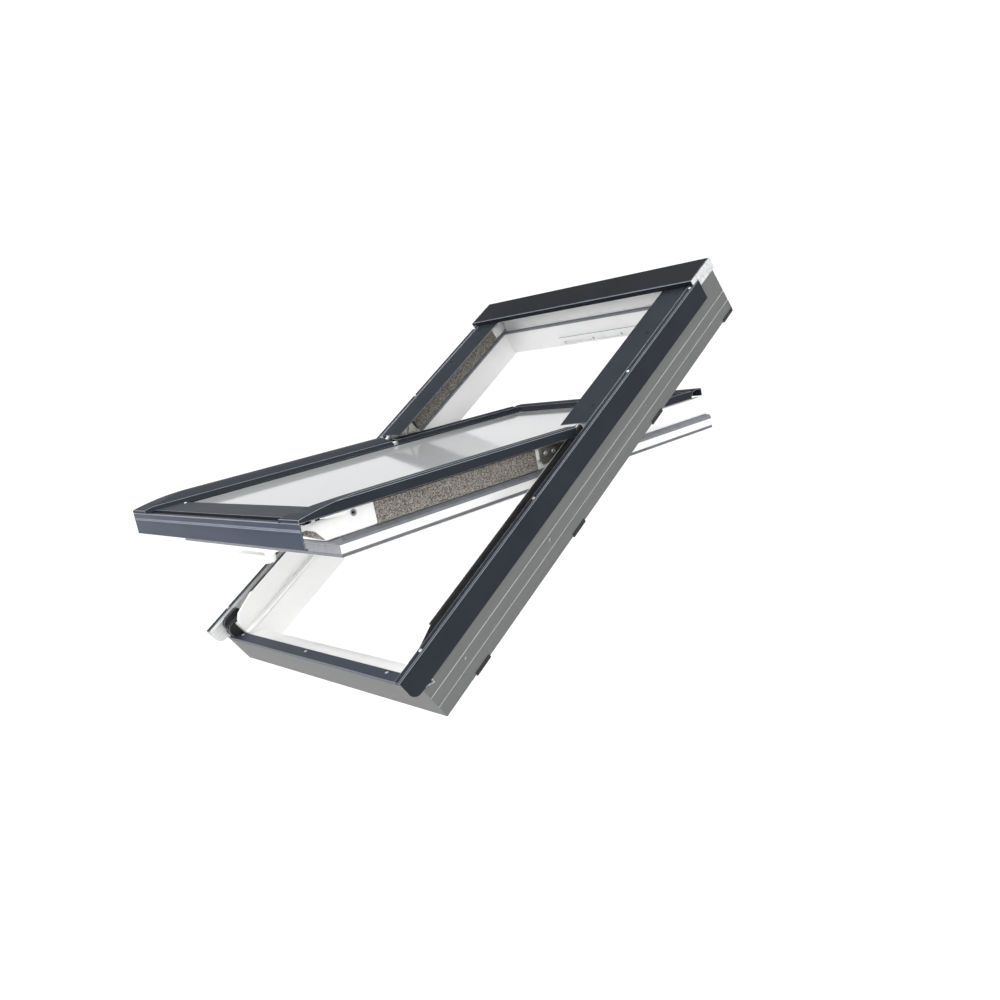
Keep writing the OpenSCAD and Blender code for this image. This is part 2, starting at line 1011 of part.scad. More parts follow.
module sash_bottom_cover() {
  f = -apron_front;
  top = cover_z + 1.4;
  s1 = glass_s - 2.6;
  color(dark)
    swung()
      difference() {
        union() {
          across(-edge_x, edge_x)
            folded([[f + 11, top - 4], [f + 20, top - 4],
              [f + 20, cover_z + 4.5], [s1, cover_z + 4.5],
              [edge_s, cover_z + sheet_t]], -sheet_t);
          across(4 - skirt_x, skirt_x - 4)
            folded([[f + 9, top], [f + 11, top], [f + 11, top - 4],
              [f + 20, top - 4], [f + 20, top - 0.1]], -sheet_t);
          across(-skirt_x, skirt_x)
            folded([[f + 6, top - apron_drop], [f, top - apron_drop],
              [f, top - 15], [f - 1, top - 14], [f - 1, top - 12],
              [f, top - 11], [f, top - 1], [f + 1, top], [f + 11, top]],
              -sheet_t);
        }
        for (x = apron_screw_x)
          translate([x, s1 - 7, cover_z])
            cylinder(h = 10, r = 1.6 + screw_gap);
      }
}

module sash_cover_screws() {
  color(zinc)
    swung()
      for (x = apron_screw_x)
        translate([x, glass_s - 9.6, cover_z + 4.5])
          screw(3.6, 1.6, 1.6, 11);
}

// ---- sash trim ----

module sash_foam() {
  block([upper_x, upper_x + 13], [148.3, pivot_s - 102.3],
    [neck_z + 3, body_z]);
}

module right_sash_foam() {
  color(foam)
    swung()
      sash_foam();
}

module left_sash_foam() {
  color(foam)
    swung()
      left()
        sash_foam();
}

// side view of the foam wedge let into the end piece's low front corner
module wedge_outline(grow) {
  z1 = under_z;
  low = 2 * (z1 - neck_z - 4.5);
  polygon([[1 - grow * 4, z1 - 0.5 - grow * 4], [1 - grow * 4, z1 + 5 + grow],
    [11, z1 + 5.5 + grow], [25 + grow, z1 - 1 + grow],
    [low + grow * 3, neck_z + 4.5], [low, neck_z + 4.5 - grow * 4]]);
}

module end_piece() {
  z1 = under_z;
  difference() {
    across(upper_x, upper_x + 13)
      polygon([[0, z1], [2 * (z1 - neck_z - 4.5), neck_z + 4.5],
        [146, neck_z + 4.5], [148, neck_z + 7], [148, body_z - 2],
        [146, body_z], [0, body_z]]);
    across(upper_x + 8, upper_x + 14)
      wedge_outline(rest_gap);
    rod_x(upper_x + 9, upper_x + 14, 105, body_z - 8, 4);
    rod_x(upper_x - 1, upper_x + 14, 105, body_z - 8, 2);
    for (s = [14, 30])
      block([upper_x + 9, upper_x + 14], [s, s + 9], [body_z - 3, body_z + 1]);
  }
}

module right_end_piece() {
  color(white)
    swung()
      end_piece();
}

module left_end_piece() {
  color(white)
    swung()
      left()
        end_piece();
}

module insulation_wedges() {
  z1 = under_z;
  color(foam)
    swung()
      both() {
        across(upper_x - 20, upper_x + 12)
          polygon([[sheet_t - apron_front + 0.2, z1], [-rest_gap, z1],
            [-rest_gap, body_z - 2],
            [sheet_t - apron_front + 0.2, z1 + 7]]);
        across(upper_x + 8.3, upper_x + 13)
          wedge_outline(0);
      }
}

module sash_outer_gasket() {
  color(pale)
    swung() {
      both()
        up(lip_s - 1, neck_e + 1)
          polygon([[neck_x, layer_z], [sash_x, layer_z],
            [sash_x, layer_z + 5], [upper_x + 4, neck_z - 0.3],
            [neck_x, neck_z - 0.3]]);
      across(-sash_x, sash_x)
        polygon([[lip_s, layer_z], [sash_s, layer_z],
          [frame_face, layer_z + 6.8],
          [frame_face - 9, layer_z + 11.3],
          [frame_face - 9, neck_z - 0.3], [lip_s, neck_z - 0.3]]);
      across(-sash_x, sash_x)
        polygon([[neck_e, layer_z], [sash_e, layer_z],
          [sash_e, layer_z + 5], [sash_e - 6, neck_z - 0.3],
          [neck_e, neck_z - 0.3]]);
    }
}

module sash_inner_gasket() {
  color(pale)
    swung()
      difference() {
        block([-sash_x, sash_x], [sash_s, sash_e],
          [sash_back + 4, white_z - touch_gap]);
        block([-lip_x - touch_gap, lip_x + touch_gap],
          [lip_s - touch_gap, lip_e + touch_gap],
          [sash_back - 1, white_z + 1]);
        both()
          block([sash_x - 1.5, sash_x + 1], [sash_s - 1, sash_e + 1],
            [sash_back + 6, sash_back + 8]);
      }
}

// ---- handle and latch ----

module handle_base() {
  s = sash_s + 30;
  color(white)
    swung()
      difference() {
        union() {
          block([-30, 30], [s - 15, s + 15],
            [sash_back - 9, sash_back - touch_gap]);
          for (x = [-30, 30])
            translate([x, s, sash_back - 9])
              cylinder(h = 9 - touch_gap, r = 15);
        }
        translate([0, s, sash_back - 10])
          cylinder(h = 11, r = spindle_r + run_gap);
      }
}

module handle_lever() {
  s = sash_s + 30;
  color(white)
    swung()
      translate([0, s, 0]) {
        translate([0, 0, sash_back - 12])
          cylinder(h = 15, r = spindle_r);
        translate([0, 0, sash_back - 31])
          cylinder(h = 21, r = 10);
        difference() {
          block([-grip_l + 9, 0], [-9, 9],
            [sash_back - 36, sash_back - 20]);
          translate([-50, 0, sash_back - 53])
            rotate([90, 0, 0])
              translate([0, 0, -12])
                cylinder(h = 24, r = 26);
        }
        translate([-grip_l + 9, 0, sash_back - 36])
          cylinder(h = 16, r = 9);
      }
}

module latch_bolt() {
  color(zinc)
    swung()
      block([-latch_x, latch_x], [sash_s + 1, open_s - 28], latch_z);
}

left_jamb();
right_jamb();
frame_head();
frame_sill();
left_lining();
right_lining();
head_lining();
sill_lining();
left_outer_cover();
right_outer_cover();
left_frame_cover();
right_frame_cover();
top_casing();
left_casing_bracket();
right_casing_bracket();
sill_flashing();
left_end_plug();
right_end_plug();
left_frame_foam();
right_frame_foam();
frame_gasket();
head_blocks();
ventilator_housing();
ventilator_shutter();
back_clips();
frame_cover_screws();
sill_screws();
left_hinge_plate();
right_hinge_plate();
hinge_plate_screws();
latch_keeper();
left_stile();
right_stile();
top_rail();
bottom_rail();
outer_pane();
inner_pane();
pane_spacer();
glazing_gasket();
left_sash_cover();
right_sash_cover();
left_upper_sash_cover();
right_upper_sash_cover();
sash_top_cover();
sash_bottom_cover();
left_sash_foam();
right_sash_foam();
left_end_piece();
right_end_piece();
insulation_wedges();
sash_outer_gasket();
sash_inner_gasket();
left_hinge_carriage();
right_hinge_carriage();
carriage_bolts();
hinge_blocks();
sash_cover_screws();
handle_base();
handle_lever();
latch_bolt();
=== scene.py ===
"""Looks of a centre-pivot roof window with its sash swung open.

Sizes inside this file are millimetres in the window's own directions: x across,
s up the slope from the low edge, n outward from the back. lean() takes a point
of the fixed frame to its place, and swing() a point of the closed sash.
"""

import json
import math

import bmesh
import bpy
import numpy as np
from mathutils import Matrix, Vector


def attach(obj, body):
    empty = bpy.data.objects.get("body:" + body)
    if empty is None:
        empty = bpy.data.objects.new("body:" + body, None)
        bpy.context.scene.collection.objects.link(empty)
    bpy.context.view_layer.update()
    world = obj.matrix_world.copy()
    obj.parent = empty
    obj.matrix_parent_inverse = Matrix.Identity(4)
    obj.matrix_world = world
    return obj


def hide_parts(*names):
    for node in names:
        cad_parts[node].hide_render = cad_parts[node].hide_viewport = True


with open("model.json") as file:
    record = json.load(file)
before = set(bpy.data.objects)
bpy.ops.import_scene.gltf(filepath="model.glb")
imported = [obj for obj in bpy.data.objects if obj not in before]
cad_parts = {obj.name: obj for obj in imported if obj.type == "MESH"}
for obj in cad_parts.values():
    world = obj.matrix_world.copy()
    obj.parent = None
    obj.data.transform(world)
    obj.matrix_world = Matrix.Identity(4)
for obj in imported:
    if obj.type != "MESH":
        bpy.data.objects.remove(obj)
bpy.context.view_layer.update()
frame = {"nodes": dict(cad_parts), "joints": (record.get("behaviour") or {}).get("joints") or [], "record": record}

bl_info = {
    "name": "Roof window looks",
    "version": (1, 0, 0),
    "blender": (4, 5, 0),
    "location": "View3D > Sidebar > Roof window",
    "description": "Finishes the pieces of a centre-pivot roof window",
    "category": "Object",
}

# ---- what the frame says ----

RECORD = frame["record"]
MOUNTS = {m["name"]: m for m in RECORD["mounts"]}
JOINTS = {j["name"]: j for j in frame["joints"]}
BODY = {n: b for b, group in RECORD["behaviour"]["bodies"].items() for n in group}
BACK = MOUNTS["sill_back"]["axis"]
PITCH = math.atan2(BACK[1], -BACK[2])
OPEN = -math.radians(JOINTS["sash_pivot"]["range_deg"][0])
MM = 0.001


def unlean(points):
    """World metres to window millimetres: a turn by minus the pitch about x."""
    p = np.asarray(points, float) / MM
    c, s = math.cos(PITCH), math.sin(PITCH)
    return np.stack(
        [p[..., 0], p[..., 1] * c + p[..., 2] * s, p[..., 2] * c - p[..., 1] * s], -1
    )


def corners(node):
    """Every corner of a CAD node in millimetres, with s measured from the origin."""
    mesh = frame["nodes"][node].data
    co = np.zeros(len(mesh.vertices) * 3)
    mesh.vertices.foreach_get("co", co)
    return unlean(co.reshape(-1, 3))


TURNING = ("sash", "handle", "latch")
LOW_EDGE = corners("right_lining")[:, 1].min()
PIVOT = unlean(JOINTS["sash_pivot"]["pos_m"]) - (0, LOW_EDGE, 0)


def turned(points, angle):
    """Window points turned about the pivot: positive swings the low end out."""
    p = np.asarray(points, float)
    a, b = p[..., 1] - PIVOT[1], p[..., 2] - PIVOT[2]
    c, s = math.cos(angle), math.sin(angle)
    return np.stack([p[..., 0], PIVOT[1] + a * c + b * s, PIVOT[2] - a * s + b * c], -1)


def lean(points):
    """Window millimetres to world metres: a turn by the pitch about x."""
    p = np.asarray(points, float)
    c, s = math.cos(PITCH), math.sin(PITCH)
    y = p[..., 1] + LOW_EDGE
    return np.stack([p[..., 0], y * c - p[..., 2] * s, y * s + p[..., 2] * c], -1) * MM


def swing(points):
    """Closed-sash millimetres to world metres, with the sash as it stands open."""
    return lean(turned(points, OPEN))


def closed_corners(node):
    """Every corner of a CAD node in window millimetres, with the sash turned closed."""
    p = corners(node) - (0, LOW_EDGE, 0)
    return turned(p, -OPEN) if BODY[node] in TURNING else p


def flat_box(node):
    """Lowest and highest x, s and n of a CAD node, with the sash turned closed."""
    p = closed_corners(node)
    return p.min(0), p.max(0)


def outer_face(node):
    """Distance from the window's middle to a side node's outer face."""
    low, high = flat_box(node)
    return max(abs(low[0]), abs(high[0]))


def islands(node):
    """Corners of each separate solid of a CAD node, with the sash turned closed. Two
    corners belong together when edges join them: each takes the lowest number that
    its edges reach, until no number changes."""
    mesh = frame["nodes"][node].data
    p = closed_corners(node)
    ends = np.zeros(len(mesh.edges) * 2, int)
    mesh.edges.foreach_get("vertices", ends)
    place = np.unique(np.round(p, 2), axis=0, return_inverse=True)[1].reshape(-1)
    a, b = place[ends.reshape(-1, 2)].T
    number = np.arange(place.max() + 1)
    while True:
        least = np.minimum(number[a], number[b])
        found = number.copy()
        np.minimum.at(found, a, least)
        np.minimum.at(found, b, least)
        if (found == number).all():
            break
        number = found
    group = number[place]
    return [p[group == k] for k in np.unique(group)]


# ---- colours and nodes ----


def linear(text):
    """An sRGB hex colour as linear red, green, blue."""
    v = np.array([int(text[i : i + 2], 16) for i in (0, 2, 4)]) / 255
    return tuple(np.where(v <= 0.04045, v / 12.92, ((v + 0.055) / 1.055) ** 2.4))


WHITE = (1.0, 1.0, 1.0)


def rgba(colour):
    """A colour with full cover."""
    return (*colour, 1.0)


def feed(tree, node, sockets):
    """Sets sockets of a node, or links them where the value is another's output."""
    for name, value in sockets.items():
        if isinstance(value, bpy.types.NodeSocket):
            tree.links.new(value, node.inputs[name])
        else:
            node.inputs[name].default_value = value


def add(tree, kind, sockets=None, **settings):
    """Adds one node, sets its properties, then sets or links its sockets."""
    node = tree.nodes.new(kind)
    for name, value in settings.items():
        setattr(node, name, value)
    feed(tree, node, sockets or {})
    return node


def grain(tree, size, tilt=0.0):
    """Object coordinates turned by tilt about x and measured in grains of size, which
    is one length or three, in millimetres."""
    sockets = {
        "Vector": add(tree, "ShaderNodeTexCoord").outputs["Object"],
        "Rotation": (tilt, 0, 0),
        "Scale": [v * MM for v in np.broadcast_to(size, 3)],
    }
    mapped = add(tree, "ShaderNodeMapping", sockets, vector_type="TEXTURE")
    return mapped.outputs["Vector"]


def noise(tree, size, detail, tilt=0.0):
    """Noise between 0 and 1 with grains of that size."""
    sockets = {"Vector": grain(tree, size, tilt), "Scale": 1.0, "Detail": detail}
    return add(tree, "ShaderNodeTexNoise", sockets).outputs["Fac"]


def cells(tree, size, output, **settings):
    """One output of a pattern of cells of that size."""
    sockets = {"Vector": grain(tree, size), "Scale": 1.0}
    return add(tree, "ShaderNodeTexVoronoi", sockets, **settings).outputs[output]


def grey(tree, colour):
    """The brightness of a colour, as one value."""
    return add(tree, "ShaderNodeRGBToBW", {"Color": colour}).outputs["Val"]


def blend(tree, part, a, b):
    """Value a with a part of value b mixed in."""
    sockets = {"Factor": part, "A": a, "B": b}
    return add(tree, "ShaderNodeMix", sockets, data_type="FLOAT").outputs["Result"]


def stepped(tree, value, stops):
    """A colour ramp of (place, linear colour) stops driven by a value."""
    ramp = add(tree, "ShaderNodeValToRGB", {"Fac": value})
    bar = ramp.color_ramp
    while len(bar.elements) < len(stops):
        bar.elements.new(0.5)
    for element, (place, colour) in zip(bar.elements, stops):
        element.position, element.color = place, rgba(colour)
    return ramp.outputs["Color"]


def levels(tree, value, low, high):
    """A value from 0 to 1 spread over low to high."""
    return add(
        tree, "ShaderNodeMapRange", {"Value": value, "To Min": low, "To Max": high}
    ).outputs["Result"]


def shade(colour, part):
    """A colour made darker or lighter, never past white."""
    return tuple(min(1.0, v * part) for v in colour)


def material(name):
    """An empty node material with one Principled shader, and its tree."""
    made = bpy.data.materials.new(name)
    made.use_nodes = True
    tree = made.node_tree
    tree.nodes.clear()
    shader = add(tree, "ShaderNodeBsdfPrincipled")
    out = add(tree, "ShaderNodeOutputMaterial")
    tree.links.new(shader.outputs["BSDF"], out.inputs["Surface"])
    return made, tree, shader


def bumps(tree, height, depth, under=None):
    """Surface relief of depth millimetres from a height between 0 and 1."""
    sockets = {"Height": height, "Strength": 1.0, "Distance": depth * MM}
    if under is not None:
        sockets["Normal"] = under
    return add(tree, "ShaderNodeBump", sockets).outputs["Normal"]


# ---- finishes ----


def extruded_pvc(colour, tilt, along):
    """Rigid white PVC, extruded: satin, with faint draw lines along the bar."""
    made, tree, shader = material("Extruded PVC")
    # draw lines about 1.4 mm apart and 400 mm long, running with the bar
    size = (400, 1.4, 1.4) if along == "x" else (1.4, 400, 1.4)
    lines = noise(tree, size, 2.0, tilt)
    clouds = noise(tree, 90, 3.0, tilt)
    dust = noise(tree, 7, 6.0)
    feed(
        tree,
        shader,
        {
            "Base Color": stepped(
                tree, clouds, [(0.3, shade(colour, 0.955)), (0.62, colour)]
            ),
            "Roughness": levels(tree, dust, 0.3, 0.46),
            "IOR": 1.53,
            "Coat Weight": 0.08,
            "Normal": bumps(tree, lines, 0.02),
        },
    )
    return made


def moulded_pvc(colour):
    """White PVC or ABS, injection moulded: satin with a fine etched texture."""
    made, tree, shader = material("Moulded white ABS")
    # etched texture of the mould, about 0.8 mm so that it shows at all
    etch = noise(tree, 0.8, 2.0)
    flow = noise(tree, 30, 3.0)
    feed(
        tree,
        shader,
        {
            "Base Color": stepped(
                tree, flow, [(0.3, shade(colour, 0.93)), (0.65, colour)]
            ),
            "Roughness": levels(tree, flow, 0.36, 0.5),
            "IOR": 1.54,
            "Normal": bumps(tree, etch, 0.03),
        },
    )
    return made


def coil_coat(colour, tilt):
    """Coil-coated aluminium: satin, rolled streaks along the slope, dust."""
    made, tree, shader = material("Coil coated aluminium")
    streak = noise(tree, (6, 260, 6), 5.0, tilt)
    speck = noise(tree, 1.6, 2.0)
    tone = blend(tree, 0.35, streak, speck)
    feed(
        tree,
        shader,
        {
            "Base Color": stepped(
                tree,
                tone,
                [(0.32, shade(colour, 0.86)), (0.5, colour), (0.7, shade(colour, 1.1))],
            ),
            "Metallic": 0.25,
            "Roughness": levels(tree, streak, 0.42, 0.58),
            "Normal": bumps(tree, speck, 0.02),
        },
    )
    return made


def powder_coat(colour, rough=0.5):
    """Anthracite powder coat on aluminium: satin, orange peel about 2 mm wide."""
    made, tree, shader = material("Anthracite powder coat")
    peel = noise(tree, 2.2, 2.0)
    # fine mineral grit of the coat, drawn at 0.7 mm so that it shows
    grit = cells(tree, 0.7, "Distance")
    clouds = noise(tree, 120, 4.0)
    feed(
        tree,
        shader,
        {
            "Base Color": stepped(
                tree, clouds, [(0.3, shade(colour, 0.88)), (0.7, shade(colour, 1.12))]
            ),
            "Roughness": levels(tree, clouds, rough - 0.05, rough + 0.07),
            "IOR": 1.5,
            "Specular IOR Level": 0.08,
            "Normal": bumps(tree, grit, 0.012, bumps(tree, peel, 0.03)),
        },
    )
    return made


def bare_metal(colour, name):
    """Bare or zinc plated metal: cloudy, with fine scratches up the slope."""
    made, tree, shader = material(name)
    tone = grey(tree, cells(tree, 5, "Color", distance="MANHATTAN"))
    scratch = noise(tree, (0.5, 30, 0.5), 3.0, PITCH)
    feed(
        tree,
        shader,
        {
            "Base Color": stepped(
                tree, tone, [(0.1, shade(colour, 0.78)), (0.9, shade(colour, 1.1))]
            ),
            "Metallic": 1.0,
            "Roughness": levels(tree, tone, 0.28, 0.44),
            "Normal": bumps(tree, scratch, 0.015),
        },
    )
    return made


def moulded_plastic(colour):
    """Black polypropylene, injection moulded: dull with a spark-eroded texture."""
    made, tree, shader = material("Black polypropylene")
    etch = noise(tree, 0.9, 3.0)
    feed(
        tree,
        shader,
        {
            "Base Color": stepped(
                tree, etch, [(0.35, shade(colour, 0.7)), (0.7, shade(colour, 1.6))]
            ),
            "Roughness": 0.55,
            "IOR": 1.49,
            "Normal": bumps(tree, etch, 0.05),
        },
    )
    return made


def bonded_foam(dark, light):
    """Bonded open-cell foam: crumbs of brown, grey and pale foam pressed together."""
    made, tree, shader = material("Bonded crumb foam")
    crumb = grey(tree, cells(tree, 1.7, "Color"))
    pore = noise(tree, 0.9, 6.0)
    tone = blend(tree, 0.5, crumb, pore)
    middle = tuple((a + b) / 2 for a, b in zip(dark, light))
    feed(
        tree,
        shader,
        {
            "Base Color": stepped(
                tree, tone, [(0.3, dark), (0.5, middle), (0.68, light)]
            ),
            "Roughness": 0.95,
            "Specular IOR Level": 0.1,
            "Normal": bumps(tree, pore, 0.5),
        },
    )
    return made


def gasket_rubber(colour, name):
    """Extruded EPDM or TPE seal: matt, with a bloom of dust."""
    made, tree, shader = material(name)
    bloom = noise(tree, 12, 5.0)
    feed(
        tree,
        shader,
        {
            "Base Color": stepped(
                tree, bloom, [(0.3, shade(colour, 0.88)), (0.7, shade(colour, 1.12))]
            ),
            "Roughness": levels(tree, bloom, 0.55, 0.75),
            "IOR": 1.5,
            "Normal": bumps(tree, bloom, 0.06),
        },
    )
    return made


def float_glass(colour, clear, gloss):
    """Coated float glass: a breath of grey-green, a dust film, and, as far as clear
    falls short of 1, a milky grey: painted reflection of the studio."""
    made, tree, shader = material("Coated float glass")
    film = noise(tree, 60, 4.0)
    feed(
        tree,
        shader,
        {
            "Base Color": stepped(
                tree, film, [(0.3, shade(colour, 0.985)), (0.7, colour)]
            ),
            "Roughness": levels(tree, film, 0.05, 0.09),
            "IOR": 1.5,
            "Specular IOR Level": gloss,
            "Coat Weight": 0.15,
            "Transmission Weight": clear,
        },
    )
    return made


# ---- building meshes ----

# degrees between two faces: below the first they are shaded as one curved skin,
# above the second the edge between them is rounded
SMOOTH_UNDER = 30
ROUND_OVER = 24


def lofted(rings, closed=True):
    """Skin over rings of equal count: quads join ring i to ring i+1 point by point,
    and the first and last rings are filled when the solid is closed."""
    rings = np.asarray(rings, float)
    m, k = rings.shape[:2]
    i, j = np.meshgrid(np.arange(m - 1), np.arange(k), indexing="ij")
    a, b = i * k + j, i * k + (j + 1) % k
    quads = np.stack([a, b, b + k, a + k], -1).reshape(-1, 4).tolist()
    if closed:
        quads += [list(range(k - 1, -1, -1)), list(range((m - 1) * k, m * k))]
    return rings.reshape(-1, 3), quads


def joined(*parts):
    """Several (points, faces) solids as one."""
    points, faces, start = [], [], 0
    for p, f in parts:
        points.append(p)
        faces += [[v + start for v in face] for face in f]
        start += len(p)
    return np.concatenate(points), faces


def lathed(profile, centres, axis, place, count=28, looped=False):
    """A (radius, height) profile turned about an axis at each centre: every point
    is centre + height * axis + radius * (cos a, sin a) in the plane across it. A
    looped profile comes back to its first point, so the ring it makes stays open."""
    profile = np.asarray(profile + profile[:1] if looped else profile, float)
    axis = np.asarray(axis, float) / np.linalg.norm(axis)
    u = np.cross(axis, (0, 0, 1) if abs(axis[2]) < 0.9 else (1, 0, 0))
    u /= np.linalg.norm(u)
    v = np.cross(axis, u)
    a = np.arange(count) * 2 * math.pi / count
    around = np.cos(a)[:, None] * u + np.sin(a)[:, None] * v
    shape = profile[:, 0, None, None] * around + profile[:, 1, None, None] * axis
    return joined(
        *[
            (place(p + np.asarray(c, float)), f)
            for c in centres
            for p, f in [lofted(shape, not looped)]
        ]
    )


def value_noise(points, size, seed):
    """Smooth noise between 0 and 1: seeded random values on a cubic lattice of
    spacing size, blended by smoothstep weights between the eight nearest."""
    lattice = np.random.default_rng(seed).random((32, 32, 32))
    p = np.asarray(points, float) / size
    i = np.floor(p).astype(int)
    f = p - i
    f = f * f * (3 - 2 * f)
    total = 0.0
    for corner in range(8):
        bit = np.array([corner & 1, corner >> 1 & 1, corner >> 2 & 1])
        w = np.prod(np.where(bit, f, 1 - f), -1)
        cell = (i + bit) % 32
        total = total + w * lattice[cell[..., 0], cell[..., 1], cell[..., 2]]
    return total


def rough_bar(low, high, place, depth, seed, side, step=1.8):
    """A foam bar between two corners, along s: its rectangular ring is sampled every
    step, and each point sinks towards the bar's middle by depth times two sizes of
    smooth noise, so no point stands outside the box."""
    low, high = np.asarray(low, float), np.asarray(high, float)
    wide, tall = high[0] - low[0], high[2] - low[2]
    nx, nz = max(4, int(wide / step)), max(4, int(tall / step))
    x = np.linspace(0, 1, nx, endpoint=False)
    z = np.linspace(0, 1, nz, endpoint=False)
    ring = np.concatenate(
        [
            np.stack([x, 0 * x], -1),
            np.stack([0 * z + 1, z], -1),
            np.stack([1 - x, 0 * x + 1], -1),
            np.stack([0 * z, 1 - z], -1),
        ]
    )
    s = np.linspace(low[1], high[1], int((high[1] - low[1]) / step))
    p = np.empty((len(s), len(ring), 3))
    p[..., 0] = low[0] + ring[:, 0] * wide
    p[..., 1] = s[:, None]
    p[..., 2] = low[2] + ring[:, 1] * tall
    pits = 0.6 * value_noise(p, 5.0, seed) + 0.4 * value_noise(p, 2.4, seed + 1)
    middle = (low + high) / 2
    toward = middle - p
    toward[..., 1] = 0
    toward /= np.maximum(np.abs(toward).max(-1, keepdims=True), 1e-9)
    p = p + toward * (pits * depth)[..., None]
    p[..., 0] *= side
    points, faces = lofted(p)
    return place(points), faces


def piece(name, points, faces, look, nodes, smooth):
    """Makes a mesh object from points and faces, joins points that coincide, turns
    its faces outward, and lets it stand for CAD nodes on their body."""
    mesh = bpy.data.meshes.new(name)
    mesh.from_pydata(np.asarray(points).tolist(), [], faces)
    shell = bmesh.new()
    shell.from_mesh(mesh)
    bmesh.ops.remove_doubles(shell, verts=shell.verts, dist=1e-6)
    bmesh.ops.recalc_face_normals(shell, faces=shell.faces)
    shell.to_mesh(mesh)
    shell.free()
    return dressed(name, mesh, look, nodes, smooth)


def dressed(name, mesh, look, nodes, smooth, round_mm=0.0, steps=2):
    """Gives a mesh its object, material, shading, edge rounding and body."""
    obj = bpy.data.objects.new(name, mesh)
    bpy.context.scene.collection.objects.link(obj)
    mesh.materials.clear()
    mesh.materials.append(look)
    mesh.shade_smooth()
    mesh.set_sharp_from_angle(angle=math.radians(smooth))
    if round_mm:
        bevel = obj.modifiers.new("Rounded edges", "BEVEL")
        bevel.width = round_mm * MM
        bevel.segments = steps
        bevel.limit_method = "WEIGHT"
        bevel.use_clamp_overlap = False
        bevel.harden_normals = True
    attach(obj, BODY[nodes[0]])
    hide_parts(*nodes)
    return obj


def flat_faces(mesh, on_sash):
    """Middle and outward normal of every face, in window millimetres, with the sash
    turned closed."""
    count = len(mesh.polygons)
    middle, normal = np.zeros(count * 3), np.zeros(count * 3)
    mesh.polygons.foreach_get("center", middle)
    mesh.polygons.foreach_get("normal", normal)
    middle = unlean(middle.reshape(-1, 3)) - (0, LOW_EDGE, 0)
    normal = unlean(normal.reshape(-1, 3)) * MM
    if on_sash:
        tip = turned(middle + normal, -OPEN)
        middle = turned(middle, -OPEN)
        normal = tip - middle
    return middle, normal


def second_finish(obj, node, look, where):
    """Gives another finish to the faces for which where(middle, normal) is true."""
    mesh = obj.data
    mesh.materials.append(look)
    middle, normal = flat_faces(mesh, BODY[node] != "frame")
    index = np.zeros(len(mesh.polygons), np.int32)
    mesh.polygons.foreach_get("material_index", index)
    index[where(middle, normal)] = len(mesh.materials) - 1
    mesh.polygons.foreach_set("material_index", index)


def painted_edge_highlight(obj, look):
    """Paints a highlight on the rounded edges: gives them a finish of their own."""
    obj.data.materials.append(look)
    obj.modifiers["Rounded edges"].material = len(obj.data.materials) - 1


def softened(node, look, round_mm, steps=2, shortest=4.0, flat=0.5):
    """A copy of a CAD node's mesh with its triangles merged into flat faces and its
    long sharp edges rounded. Edges shorter than the given length stay sharp, and
    triangles that meet at less than flat degrees are merged."""
    mesh = frame["nodes"][node].data.copy()
    mesh.name = node + "_finished"
    shell = bmesh.new()
    shell.from_mesh(mesh)
    bmesh.ops.remove_doubles(shell, verts=shell.verts, dist=2e-6)
    bmesh.ops.dissolve_limit(
        shell,
        angle_limit=math.radians(flat),
        verts=shell.verts,
        edges=shell.edges,
        use_dissolve_boundaries=False,
    )
    weight = shell.edges.layers.float.new("bevel_weight_edge")
    for edge in shell.edges:
        if len(edge.link_faces) == 2 and edge.calc_length() > shortest * MM:
            edge[weight] = float(edge.calc_face_angle(0.0) > math.radians(ROUND_OVER))
    shell.to_mesh(mesh)
    shell.free()
    name = node + "_finished"
    return dressed(name, mesh, look, [node], SMOOTH_UNDER, round_mm, steps)


def faceted(node, look):
    """A copy of a CAD node's mesh that keeps every facet and every sharp edge."""
    return softened(node, look, 0.0, flat=0.02)


def folded(node, look, round_mm, shortest=4.0):
    """A cover of folded sheet, with a painted highlight on its rounded folds."""
    made = softened(node, look, round_mm, 3, shortest)
    painted_edge_highlight(made, finish("fold"))
    return made


def between(values, low, high):
    """True for the values that lie between low and high."""
    return (values > low) & (values < high)


def both_sides(names):
    """left_ and right_ forms of each name."""
    return [side + name for name in names for side in ("left_", "right_")]


# ---- settings ----


class RoofWindowSizes(bpy.types.PropertyGroup):
    """Sizes that the finish of the pieces is worked out from."""

    fold_radius: bpy.props.FloatProperty(
        name="Fold radius",
        description="Outside radius of the folds in the metal covers",
        default=0.0014,
        subtype="DISTANCE",
        unit="LENGTH",
    )
    bar_edge: bpy.props.FloatProperty(
        name="Bar edge radius",
        description="Rounding of the edges of the white bars",
        default=0.0012,
        subtype="DISTANCE",
        unit="LENGTH",
    )
    foam_depth: bpy.props.FloatProperty(
        name="Foam roughness",
        description="Depth of the pits in the foam strips",
        default=0.0016,
        subtype="DISTANCE",
        unit="LENGTH",
    )
    floor_drop: bpy.props.FloatProperty(
        name="Floor drop",
        description="How far the floor lies under the window",
        default=1.4,
        subtype="DISTANCE",
        unit="LENGTH",
    )


def colour_property(name, about, text):
    """A colour setting that starts from an sRGB hex colour."""
    return bpy.props.FloatVectorProperty(
        name=name, description=about, subtype="COLOR", size=3, default=linear(text)
    )


